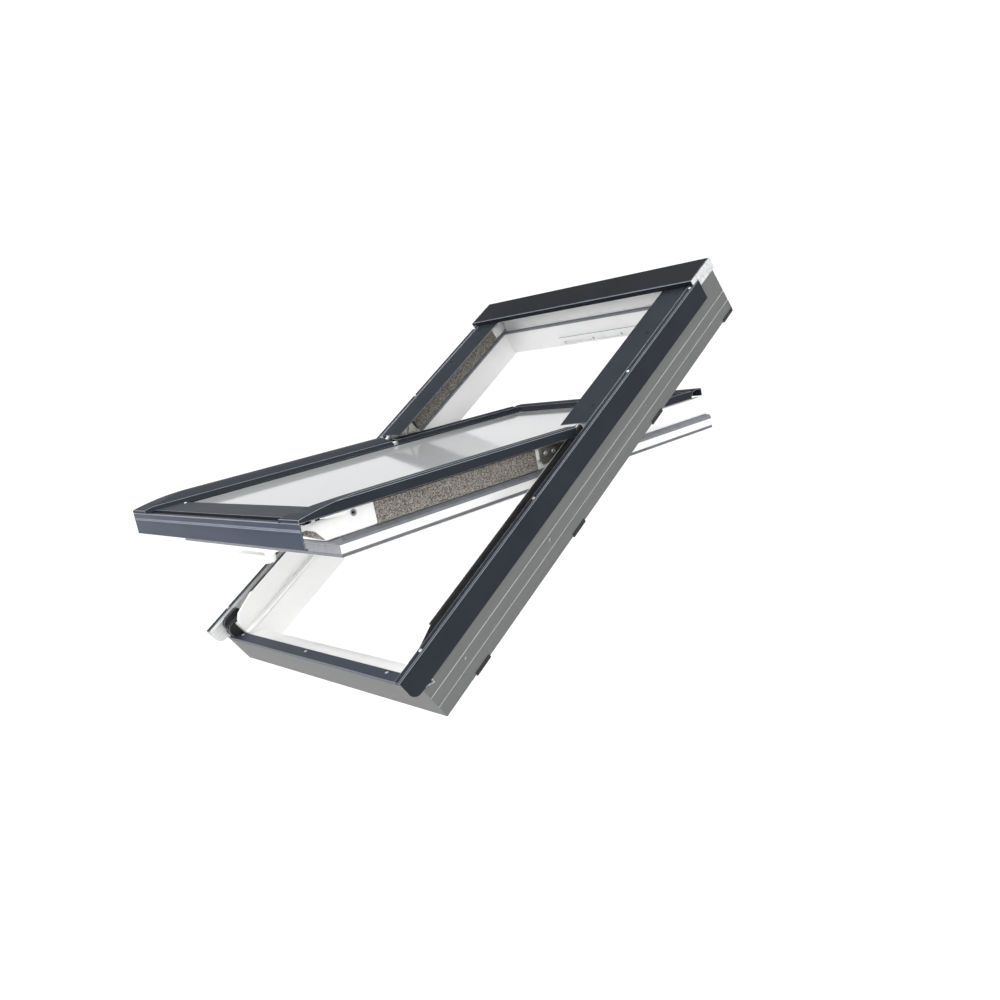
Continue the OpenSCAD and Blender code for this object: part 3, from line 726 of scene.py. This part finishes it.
class RoofWindowColours(bpy.types.PropertyGroup):
    """Colours of the finishes, and how clear the outer pane is."""

    pvc: colour_property("White PVC", "Colour of the bars", "fafaf9")
    lining: colour_property("Side linings", "Colour of the grey linings", "686969")
    covers: colour_property("Covers", "Colour of the metal covers", "282c33")
    # painted highlight: the lighter colour put on the rounded folds of the covers
    fold: colour_property("Folds", "Colour of the folds, where light catches", "8d939d")
    # pale lacquer on the backs of the covers, made whiter so that the shaded recess looks lit: partly painted
    # light
    backside_and_painted_light: colour_property("Cover backs", "Pale lacquer behind covers", "f0f1f1")
    # painted shade: a darker copy of the anthracite coat for the top casing
    casing: colour_property("Top casing", "Colour of the casing over the head", "1c1e23")
    # painted light: a lighter, bluer copy of the anthracite coat for covers that face the front
    painted_light_apron: colour_property("Bottom cover", "Colour of the front cover", "363d4b")
    zinc: colour_property("Zinc", "Colour of screws, hinges and strips", "c2c0b8")
    steel: colour_property("Steel", "Colour of the strips on the casing", "e3e4e6")
    # black of clips and plugs, also painted into the end pieces' hole and slots as painted shade
    plastic: colour_property("Black plastic", "Colour of clips and plugs", "121214")
    foam_dark: colour_property("Foam, dark crumbs", "Darkest crumbs", "3d3935")
    foam_light: colour_property("Foam, pale crumbs", "Palest crumbs", "aca69f")
    seal: colour_property("Grey seals", "Colour of the grey seals", "7b7e84")
    # painted shade: grey for the low front faces of the white sash bars and for the rims round the end piece holes
    shaded: colour_property("Grey sill face", "Colour of the low front face", "94959b")
    bead: colour_property("Glazing seal", "Colour of the black glazing seal", "16171a")
    glass: colour_property("Glass", "Colour that light takes in the glass", "d2d5d6")
    # the share of the outer pane that is not clear is a milky grey: painted reflection
    pane_clear: bpy.props.FloatProperty(
        name="Clear share of the outer pane",
        description="How much shows through the outer pane: 1 is clear glass",
        default=0.25,
        min=0.0,
        max=1.0,
    )
    spacer: colour_property("Pane spacer", "Colour of the spacer bar", "8f9190")
    floor: colour_property("Floor", "Colour of the floor", "fbfbfb")


FINISHES = {}


def finish(name):
    """The finish of that name, made when it is first asked for."""
    if name not in FINISHES:
        c = bpy.context.scene.roof_window_colours
        tilt = PITCH - OPEN
        makers = {
            "bar_up": lambda: extruded_pvc(c.pvc, PITCH, "s"),
            "bar_across": lambda: extruded_pvc(c.pvc, PITCH, "x"),
            "sash_bar_up": lambda: extruded_pvc(c.pvc, tilt, "s"),
            "sash_bar_across": lambda: extruded_pvc(c.pvc, tilt, "x"),
            "moulded": lambda: moulded_pvc(c.pvc),
            # grey that stands for shade on white faces: painted shade
            "shaded": lambda: gasket_rubber(c.shaded, "Painted grey shade"),
            "lining": lambda: coil_coat(c.lining, PITCH),
            "covers": lambda: powder_coat(c.covers),
            # lighter, glossier copy of the coat for the rounded folds: painted highlight
            "fold": lambda: powder_coat(c.fold, 0.3),
            # pale backside lacquer, whitened as painted light
            "backside_and_painted_light": lambda: coil_coat(c.backside_and_painted_light, PITCH),
            # pale grey for the faces of the lining grooves: painted highlight lines
            "painted_groove_highlight": lambda: coil_coat(shade(c.backside_and_painted_light, 0.62), PITCH),
            # darker copy of the anthracite coat: painted shade
            "casing": lambda: powder_coat(c.casing),
            # lighter copy of the anthracite coat: painted light on front faces
            "painted_light_apron": lambda: powder_coat(c.painted_light_apron, 0.36),
            "zinc": lambda: bare_metal(c.zinc, "Zinc plated steel"),
            "steel": lambda: bare_metal(c.steel, "Brushed stainless steel"),
            "plastic": lambda: moulded_plastic(c.plastic),
            "foam": lambda: bonded_foam(c.foam_dark, c.foam_light),
            "seal": lambda: gasket_rubber(c.seal, "Grey TPE seal"),
            "bead": lambda: gasket_rubber(c.bead, "Black EPDM seal"),
            "glass": lambda: float_glass(c.glass, 1.0, 0.12),
            # darker grey, mostly diffuse, with its reflection turned down: painted reflection of the studio
            "coated_glass_painted_reflection": lambda: float_glass(shade(c.glass, 0.66), c.pane_clear, 0.02),
            # darker copy of the lining colour for the sill lining: painted shade
            "painted_shade_lining": lambda: coil_coat(shade(c.lining, 0.72), PITCH),
            "spacer": lambda: bare_metal(c.spacer, "Mill finish aluminium"),
        }
        FINISHES[name] = makers[name]()
    return FINISHES[name]


def sizes():
    """The settings that hold the sizes."""
    return bpy.context.scene.roof_window_sizes


# ---- pieces ----


# name, place in metres, width in metres and power in watts
LAMPS = (
    ("Key", (3.4, -2.6, 1.9), 2.4, 34),
    ("Fill", (-1.2, -3.6, 0.4), 2.4, 34),
    ("Front", (0.2, -3.0, 3.4), 2.0, 60),
)
LAMP_TARGET = Vector((0, 0.35, 0.4))

# the viewpoint in metres, the directions that are right and ahead of it, and its
# lens in millimetres with the shift of the view as shares of the width
EYE = Vector((1.7572, -1.06507, 0.39223))
EYE_RIGHT = Vector((0.6661, 0.74584, 0.00652))
EYE_AHEAD = Vector((-0.74551, 0.66602, -0.02514))
LENS = 34.66
LENS_SHIFT = (-0.02225, 0.01138)

# half the floor's width in metres, and its squares across
FLOOR_HALF = 12
FLOOR_CELLS = 4


class RoofWindowStage(bpy.types.Operator):
    """Plain floor, soft studio light and the camera"""

    bl_idname = "roof_window.stage"
    bl_label = "Stage"

    def execute(self, context):
        scene = context.scene
        colours = scene.roof_window_colours
        self.floor(-sizes().floor_drop, colours.floor)
        self.sky(scene)
        for name, place, size, power in LAMPS:
            self.lamp(name, place, size, power)
        self.camera(scene)
        scene.view_settings.view_transform = "Standard"
        return {"FINISHED"}

    def floor(self, height, colour):
        """A floor 24 m across: flat, its height is constant everywhere."""
        count = FLOOR_CELLS + 1
        u = np.linspace(-FLOOR_HALF, FLOOR_HALF, count)
        x, y = np.meshgrid(u, u, indexing="ij")
        points = np.stack([x, y, 0 * x + height], -1).reshape(-1, 3)
        i, j = np.meshgrid(*[np.arange(FLOOR_CELLS)] * 2, indexing="ij")
        a = i * count + j
        quads = np.stack([a, a + count, a + count + 1, a + 1], -1)
        faces = quads.reshape(-1, 4).tolist()
        mesh = bpy.data.meshes.new("floor")
        mesh.from_pydata(points.tolist(), [], faces)
        made, tree, shader = material("Matt white paper")
        feed(tree, shader, {"Base Color": rgba(colour), "Roughness": 0.9})
        mesh.materials.append(made)
        floor = bpy.data.objects.new("floor", mesh)
        bpy.context.scene.collection.objects.link(floor)

    def sky(self, scene):
        """White walls all round, a dim band above them and a soft box overhead. The
        light depends on the height of a direction, the sine of its elevation."""
        world = bpy.data.worlds.new("Soft light tent")
        world.use_nodes = True
        tree = world.node_tree
        tree.nodes.clear()
        place = add(tree, "ShaderNodeTexCoord")
        height = add(
            tree, "ShaderNodeSeparateXYZ", {"Vector": place.outputs["Generated"]}
        ).outputs["Z"]
        # walls up to 27 degrees, dim from 33 to 52, soft box from 62 upward
        tone = stepped(
            tree,
            height,
            [
                (0.0, WHITE),
                (0.46, WHITE),
                (0.55, shade(WHITE, 0.16)),
                (0.79, shade(WHITE, 0.18)),
                (0.88, WHITE),
            ],
        )
        ceiling = add(
            tree,
            "ShaderNodeMapRange",
            {
                "Value": height,
                "From Min": 0.79,
                "From Max": 0.88,
                "To Min": 1.12,
                "To Max": 3.0,
            },
        ).outputs["Result"]
        light = add(
            tree, "ShaderNodeBackground", {"Color": tone, "Strength": ceiling}
        )
        out = add(tree, "ShaderNodeOutputWorld")
        tree.links.new(light.outputs["Background"], out.inputs["Surface"])
        scene.world = world

    def lamp(self, name, place, size, power):
        """A square soft box that faces the window's middle."""
        data = bpy.data.lights.new(name, "AREA")
        data.shape, data.size, data.energy = "SQUARE", size, power
        lamp = bpy.data.objects.new(name, data)
        lamp.location = place
        aim = LAMP_TARGET - Vector(place)
        lamp.rotation_euler = aim.to_track_quat("-Z", "Y").to_euler()
        bpy.context.scene.collection.objects.link(lamp)

    def camera(self, scene):
        """The viewpoint: low in front, to the right of the window."""
        data = bpy.data.cameras.new("Camera")
        data.sensor_width = 36
        data.lens = LENS
        data.shift_x, data.shift_y = LENS_SHIFT
        data.clip_end = 60
        camera = bpy.data.objects.new("Camera", data)
        ahead = EYE_AHEAD.normalized()
        up = EYE_RIGHT.normalized().cross(ahead).normalized()
        turn = Matrix((ahead.cross(up), up, -ahead)).transposed()
        camera.matrix_world = Matrix.Translation(EYE) @ turn.to_4x4()
        scene.collection.objects.link(camera)
        scene.camera = camera


class RoofWindowFrameBars(bpy.types.Operator):
    """White jambs, head and sill of the frame"""

    bl_idname = "roof_window.frame_bars"
    bl_label = "Frame bars"

    def execute(self, context):
        edge = sizes().bar_edge / MM
        for node in ("left_jamb", "right_jamb"):
            softened(node, finish("bar_up"), edge, 3, 6.0)
        softened("frame_head", finish("bar_across"), edge, 3, 6.0)
        # merged and rounded, the sill showed a dark triangle on its inner face
        faceted("frame_sill", finish("bar_across"))
        softened("head_blocks", finish("moulded"), 1.0, 2)
        return {"FINISHED"}


# the floors of the grooves lie between these depths under a side lining's face
GROOVE_FLOOR = (0.95, 0.05)


class RoofWindowLinings(bpy.types.Operator):
    """Grey linings round the outside of the frame"""

    bl_idname = "roof_window.linings"
    bl_label = "Grey linings"

    def execute(self, context):
        for node in both_sides(["lining"]):
            made = softened(node, finish("lining"), 0.25, 2, 6.0)
            deep, shallow = (outer_face(node) - depth for depth in GROOVE_FLOOR)
            # the groove faces get a pale grey: painted highlight lines along the linings
            second_finish(
                made,
                node,
                finish("painted_groove_highlight"),
                lambda m, n: between(np.abs(m[:, 0]), deep, shallow)
                & (np.abs(n[:, 1]) < 0.5),
            )
        softened("head_lining", finish("lining"), 0.25, 2, 6.0)
        # the sill lining is darker than the side linings: painted shade
        softened("sill_lining", finish("painted_shade_lining"), 0.25, 2, 6.0)
        return {"FINISHED"}


# shares of the fold radius that show on covers along the sides and across
SIDE_FOLD = 0.36
CROSS_FOLD = 0.3


class RoofWindowCovers(bpy.types.Operator):
    """Folded metal covers on the frame and the casing over its head"""

    bl_idname = "roof_window.covers"
    bl_label = "Frame covers"

    def execute(self, context):
        fold = sizes().fold_radius / MM
        for node in both_sides(["outer_cover", "frame_cover"]):
            made = folded(node, finish("covers"), fold * SIDE_FOLD, 3.0)
            if "outer" in node:
                # inner and under faces of the outer covers: pale lacquer, whitened as painted light in the shaded
                # recess
                second_finish(
                    made,
                    node,
                    finish("backside_and_painted_light"),
                    lambda m, n: (n[:, 0] * np.sign(m[:, 0]) < -0.5) | (n[:, 2] < -0.5),
                )
        # the top casing takes the darker coat: painted shade
        folded("top_casing", finish("casing"), fold * CROSS_FOLD)
        # the sill flashing takes the lighter front coat: painted light
        folded("sill_flashing", finish("painted_light_apron"), fold * CROSS_FOLD)
        for node in both_sides(["casing_bracket"]):
            softened(node, finish("steel"), 0.25, 2)
        return {"FINISHED"}


class RoofWindowEndPlugs(bpy.types.Operator):
    """Black ribbed plugs in the low ends of the jambs, and the clips on the back"""

    bl_idname = "roof_window.end_plugs"
    bl_label = "End plugs and clips"

    def execute(self, context):
        softened("back_clips", finish("plastic"), 0.6, 2, 1.5)
        for node in both_sides(["end_plug"]):
            made = softened(node, finish("plastic"), 0.5, 2, 3.0)
            # the rounded edges of the black plugs get the grey seal colour: painted highlights
            painted_edge_highlight(made, finish("seal"))
        return {"FINISHED"}


class RoofWindowFoam(bpy.types.Operator):
    """Bonded foam strips in the frame and along the sash, and the low wedges"""

    bl_idname = "roof_window.foam"
    bl_label = "Foam strips"

    def execute(self, context):
        depth = sizes().foam_depth / MM
        for k, name in enumerate(("frame_foam", "sash_foam")):
            place = swing if name == "sash_foam" else lean
            for side in (-1, 1):
                node = ("left_" if side < 0 else "right_") + name
                low, high = flat_box(node)
                if side < 0:
                    low[0], high[0] = -high[0], -low[0]
                points, faces = rough_bar(
                    low, high, place, depth, seed=11 + 4 * k + side, side=side
                )
                piece(node + "_finished", points, faces, finish("foam"), [node], 60)
        softened("insulation_wedges", finish("foam"), 1.2, 3)
        return {"FINISHED"}


# the seals of the frame are black above this height and grey below it
BLACK_ABOVE = 100


class RoofWindowSeals(bpy.types.Operator):
    """Grey and black seals of frame, sash and glass"""

    bl_idname = "roof_window.seals"
    bl_label = "Seals"

    def execute(self, context):
        made = softened("frame_gasket", finish("seal"), 0.3, 2)
        second_finish(
            made, "frame_gasket", finish("bead"), lambda m, n: m[:, 2] > BLACK_ABOVE
        )
        for node in ("sash_outer_gasket", "sash_inner_gasket"):
            softened(node, finish("seal"), 0.3, 2)
        softened("glazing_gasket", finish("bead"), 0.4, 2)
        return {"FINISHED"}


class RoofWindowVentilator(bpy.types.Operator):
    """Ventilator housing in the head and its sliding shutter"""

    bl_idname = "roof_window.ventilator"
    bl_label = "Ventilator"

    def execute(self, context):
        for node in ("ventilator_housing", "ventilator_shutter"):
            # sides of knobs and slots get the grey seal colour as painted shade; the shutter's long edges stay
            # white
            made = softened(node, finish("moulded"), 0.3, 2)
            second_finish(made, node, finish("seal"), lambda m, n: np.abs(n[:, 1]) < 0.5)
        return {"FINISHED"}


# dome of a pan-head screw with a round drive socket: radius and height, in shares
# of the head's radius
PAN_HEAD = [
    (0, -0.8),
    (0.45, -0.8),
    (0.45, 0),
    (1, 0),
    (1, 0.12),
    (0.92, 0.28),
    (0.75, 0.39),
    (0.5, 0.44),
    (0.42, 0.42),
    (0.36, 0.16),
    (0, 0.14),
]
HEAD_TALL = 0.44
# a screw's cap is what lies this close to its top
CAP = 0.5

OUT = (0.0, 0.0, 1.0)
ACROSS = (1.0, 0.0, 0.0)
# the sill strip leans by one in two, and its screws stand square to it
SILL_STRIP_OUT = (0.0, 1 / math.sqrt(5), 2 / math.sqrt(5))

# node, axis, 1 to point outward and -1 inward, and the finish of the screws on the
# inner covers and of those further out
SCREWS = (
    ("frame_cover_screws", OUT, 1, "covers", "steel"),
    ("sill_screws", SILL_STRIP_OUT, 1, "steel", "steel"),
    ("sash_cover_screws", OUT, 1, "steel", "steel"),
    ("hinge_plate_screws", ACROSS, -1, "steel", "steel"),
    ("carriage_bolts", ACROSS, 1, "steel", "steel"),
)


class RoofWindowScrews(bpy.types.Operator):
    """Screws in covers, sill strip and hinge plates, with domed heads"""

    bl_idname = "roof_window.screws"
    bl_label = "Screws"

    def execute(self, context):
        for screws in SCREWS:
            self.heads(*screws)
        return {"FINISHED"}

    def heads(self, node, axis, way, inner, outer):
        """One lathed head on every screw of a node. Axes that run across the window
        point outward on both sides, and way turns them inward."""
        axis = np.asarray(axis)
        place = swing if BODY[node] != "frame" else lean
        wall = flat_box("right_frame_cover")[1][0]
        groups = {inner: [], outer: []}
        for p in islands(node):
            along = axis * way * (np.sign(p[:, 0].mean()) if axis[0] else 1)
            height = p @ along
            cap = p[height > height.max() - CAP]
            centre = (cap.min(0) + cap.max(0)) / 2
            radius = np.linalg.norm(cap - centre, axis=1).max()
            base = centre - along * radius * HEAD_TALL
            name = outer if abs(centre[0]) > wall else inner
            profile = [(r * radius, h * radius) for r, h in PAN_HEAD]
            groups[name].append(lathed(profile, [base], along, place))
        for k, (name, solids) in enumerate(groups.items()):
            if solids:
                points, faces = joined(*solids)
                piece(f"{node}_heads_{k}", points, faces, finish(name), [node], 40)


class RoofWindowHinges(bpy.types.Operator):
    """Hinge plates with their arc tracks, carriages, and the latch keeper"""

    bl_idname = "roof_window.hinges"
    bl_label = "Hinges"

    def execute(self, context):
        # the running faces of track and shoe keep every facet
        for node in both_sides(["hinge_plate", "hinge_carriage"]):
            faceted(node, finish("zinc"))
        softened("latch_keeper", finish("zinc"), 0.3, 2)
        softened("hinge_blocks", finish("moulded"), 1.0, 2)
        return {"FINISHED"}


# rim round the hole in an end piece: radius and height over the face, millimetres
RING = [
    (3.2, -4.3),
    (3.2, 0.1),
    (3.9, 0.45),
    (4.4, 0.1),
    (5.4, 0.1),
    (5.9, 0.5),
    (6.5, 0.1),
    (6.5, -0.6),
]
# the hole's middle: up from the low edge, and down from the end piece's top
HOLE_UP = 105
HOLE_DOWN = 8
HOLE_REACH = 4.3
# the slots: depth in the side face, span up the slope, and span down from the top
SLOT_DEEP = 4.5
SLOT_SPAN = (12, 41)
SLOT_DOWN = (3.2, 0.2)
# what lies less than this under a face belongs to the face
SKIN = 0.2
# the low front face of the sash bars lies below these, up the slope and outward
LOW_FRONT_UP = 90
LOW_FRONT_OUT = 60


class RoofWindowSashBars(bpy.types.Operator):
    """White stiles and rails of the sash with their moulded end pieces"""

    bl_idname = "roof_window.sash_bars"
    bl_label = "Sash bars"

    def execute(self, context):
        edge = sizes().bar_edge / MM
        bars = {
            "left_stile": "sash_bar_up",
            "right_stile": "sash_bar_up",
            "top_rail": "sash_bar_across",
            "bottom_rail": "sash_bar_across",
        }
        for node, name in bars.items():
            made = softened(node, finish(name), edge, 3, 6.0)
            # the low front faces of the white bars are grey: painted shade under the bottom cover
            second_finish(
                made,
                node,
                finish("shaded"),
                lambda m, n: (n[:, 1] < -0.9)
                & (m[:, 1] < LOW_FRONT_UP)
                & (m[:, 2] < LOW_FRONT_OUT),
            )
        for node in both_sides(["end_piece"]):
            made = softened(node, finish("moulded"), 1.0, 3, 9.0)
            low, high = flat_box(node)
            side, face, top = np.sign(low[0] + high[0]), outer_face(node), high[2]
            hole = np.array([side * face, HOLE_UP, top - HOLE_DOWN])
            slot_low, slot_high = (top - down for down in SLOT_DOWN)
            # the inside of the hole is painted black: painted shade in the hole
            second_finish(
                made,
                node,
                finish("plastic"),
                lambda m, n: (np.abs(m[:, 0]) < face - SKIN)
                & (np.hypot(m[:, 1] - hole[1], m[:, 2] - hole[2]) < HOLE_REACH),
            )
            # the insides of the slots are painted black: painted shade in the slots
            second_finish(
                made,
                node,
                finish("plastic"),
                lambda m, n: (np.abs(m[:, 0]) > face - SLOT_DEEP)
                & between(m[:, 1], *SLOT_SPAN)
                & between(m[:, 2], slot_low, slot_high),
            )
            points, faces = lathed(
                RING, [hole], (side, 0, 0), swing, count=40, looped=True
            )
            # the rim round the hole is grey, not white: painted shade
            piece(node + "_ring", points, faces, finish("shaded"), [node], 40)
        return {"FINISHED"}


class RoofWindowGlass(bpy.types.Operator):
    """Two panes of glass and the spacer between them"""

    bl_idname = "roof_window.glass"
    bl_label = "Glass"

    def execute(self, context):
        # the outer pane is a milky grey: painted reflection
        softened("outer_pane", finish("coated_glass_painted_reflection"), 0.5, 2)
        softened("inner_pane", finish("glass"), 0.5, 2)
        softened("pane_spacer", finish("spacer"), 0.5, 2)
        return {"FINISHED"}


class RoofWindowSashCovers(bpy.types.Operator):
    """Metal covers of the sash: sides with rounded noses, upper sides, top, front"""

    bl_idname = "roof_window.sash_covers"
    bl_label = "Sash covers"

    def execute(self, context):
        fold = sizes().fold_radius / MM
        for node in both_sides(["sash_cover", "upper_sash_cover"]):
            folded(node, finish("covers"), fold * SIDE_FOLD, 3.0)
        folded("sash_top_cover", finish("covers"), fold * CROSS_FOLD)
        made = softened("sash_bottom_cover", finish("covers"), fold * CROSS_FOLD, 3, 6.0)
        # faces of the bottom cover that look to the front take the lighter coat: painted light
        second_finish(
            made,
            "sash_bottom_cover",
            finish("painted_light_apron"),
            lambda m, n: (n[:, 1] < -0.5) & (m[:, 1] < 0),
        )
        # painted highlight on the rounded folds of the bottom cover
        painted_edge_highlight(made, finish("fold"))
        return {"FINISHED"}


class RoofWindowHandle(bpy.types.Operator):
    """Handle rose, lever and latch bolt in the bottom rail"""

    bl_idname = "roof_window.handle"
    bl_label = "Handle and latch"

    def execute(self, context):
        softened("handle_base", finish("moulded"), 1.0, 3)
        softened("handle_lever", finish("moulded"), 2.0, 4)
        softened("latch_bolt", finish("zinc"), 0.8, 3)
        return {"FINISHED"}


STEPS = (
    RoofWindowStage,
    RoofWindowFrameBars,
    RoofWindowLinings,
    RoofWindowCovers,
    RoofWindowEndPlugs,
    RoofWindowFoam,
    RoofWindowSeals,
    RoofWindowVentilator,
    RoofWindowScrews,
    RoofWindowHinges,
    RoofWindowSashBars,
    RoofWindowGlass,
    RoofWindowSashCovers,
    RoofWindowHandle,
)


class RoofWindowPanel(bpy.types.Panel):
    """Sizes, colours and one button for each step"""

    bl_idname = "VIEW3D_PT_roof_window"
    bl_label = "Roof window"
    bl_space_type = "VIEW_3D"
    bl_region_type = "UI"
    bl_category = "Roof window"

    def draw(self, context):
        column = self.layout.column()
        scene = context.scene
        for group in (scene.roof_window_sizes, scene.roof_window_colours):
            for name in group.__annotations__:
                column.prop(group, name)
        for step in STEPS:
            column.operator(step.bl_idname)


CLASSES = (RoofWindowSizes, RoofWindowColours, *STEPS, RoofWindowPanel)


def register():
    for cls in CLASSES:
        bpy.utils.register_class(cls)
    bpy.types.Scene.roof_window_sizes = bpy.props.PointerProperty(type=RoofWindowSizes)
    bpy.types.Scene.roof_window_colours = bpy.props.PointerProperty(
        type=RoofWindowColours
    )


def unregister():
    del bpy.types.Scene.roof_window_colours
    del bpy.types.Scene.roof_window_sizes
    for cls in reversed(CLASSES):
        bpy.utils.unregister_class(cls)


def main():
    register()
    for step in STEPS:
        group, name = step.bl_idname.split(".")
        getattr(getattr(bpy.ops, group), name)()


if __name__ == "__main__":
    main()
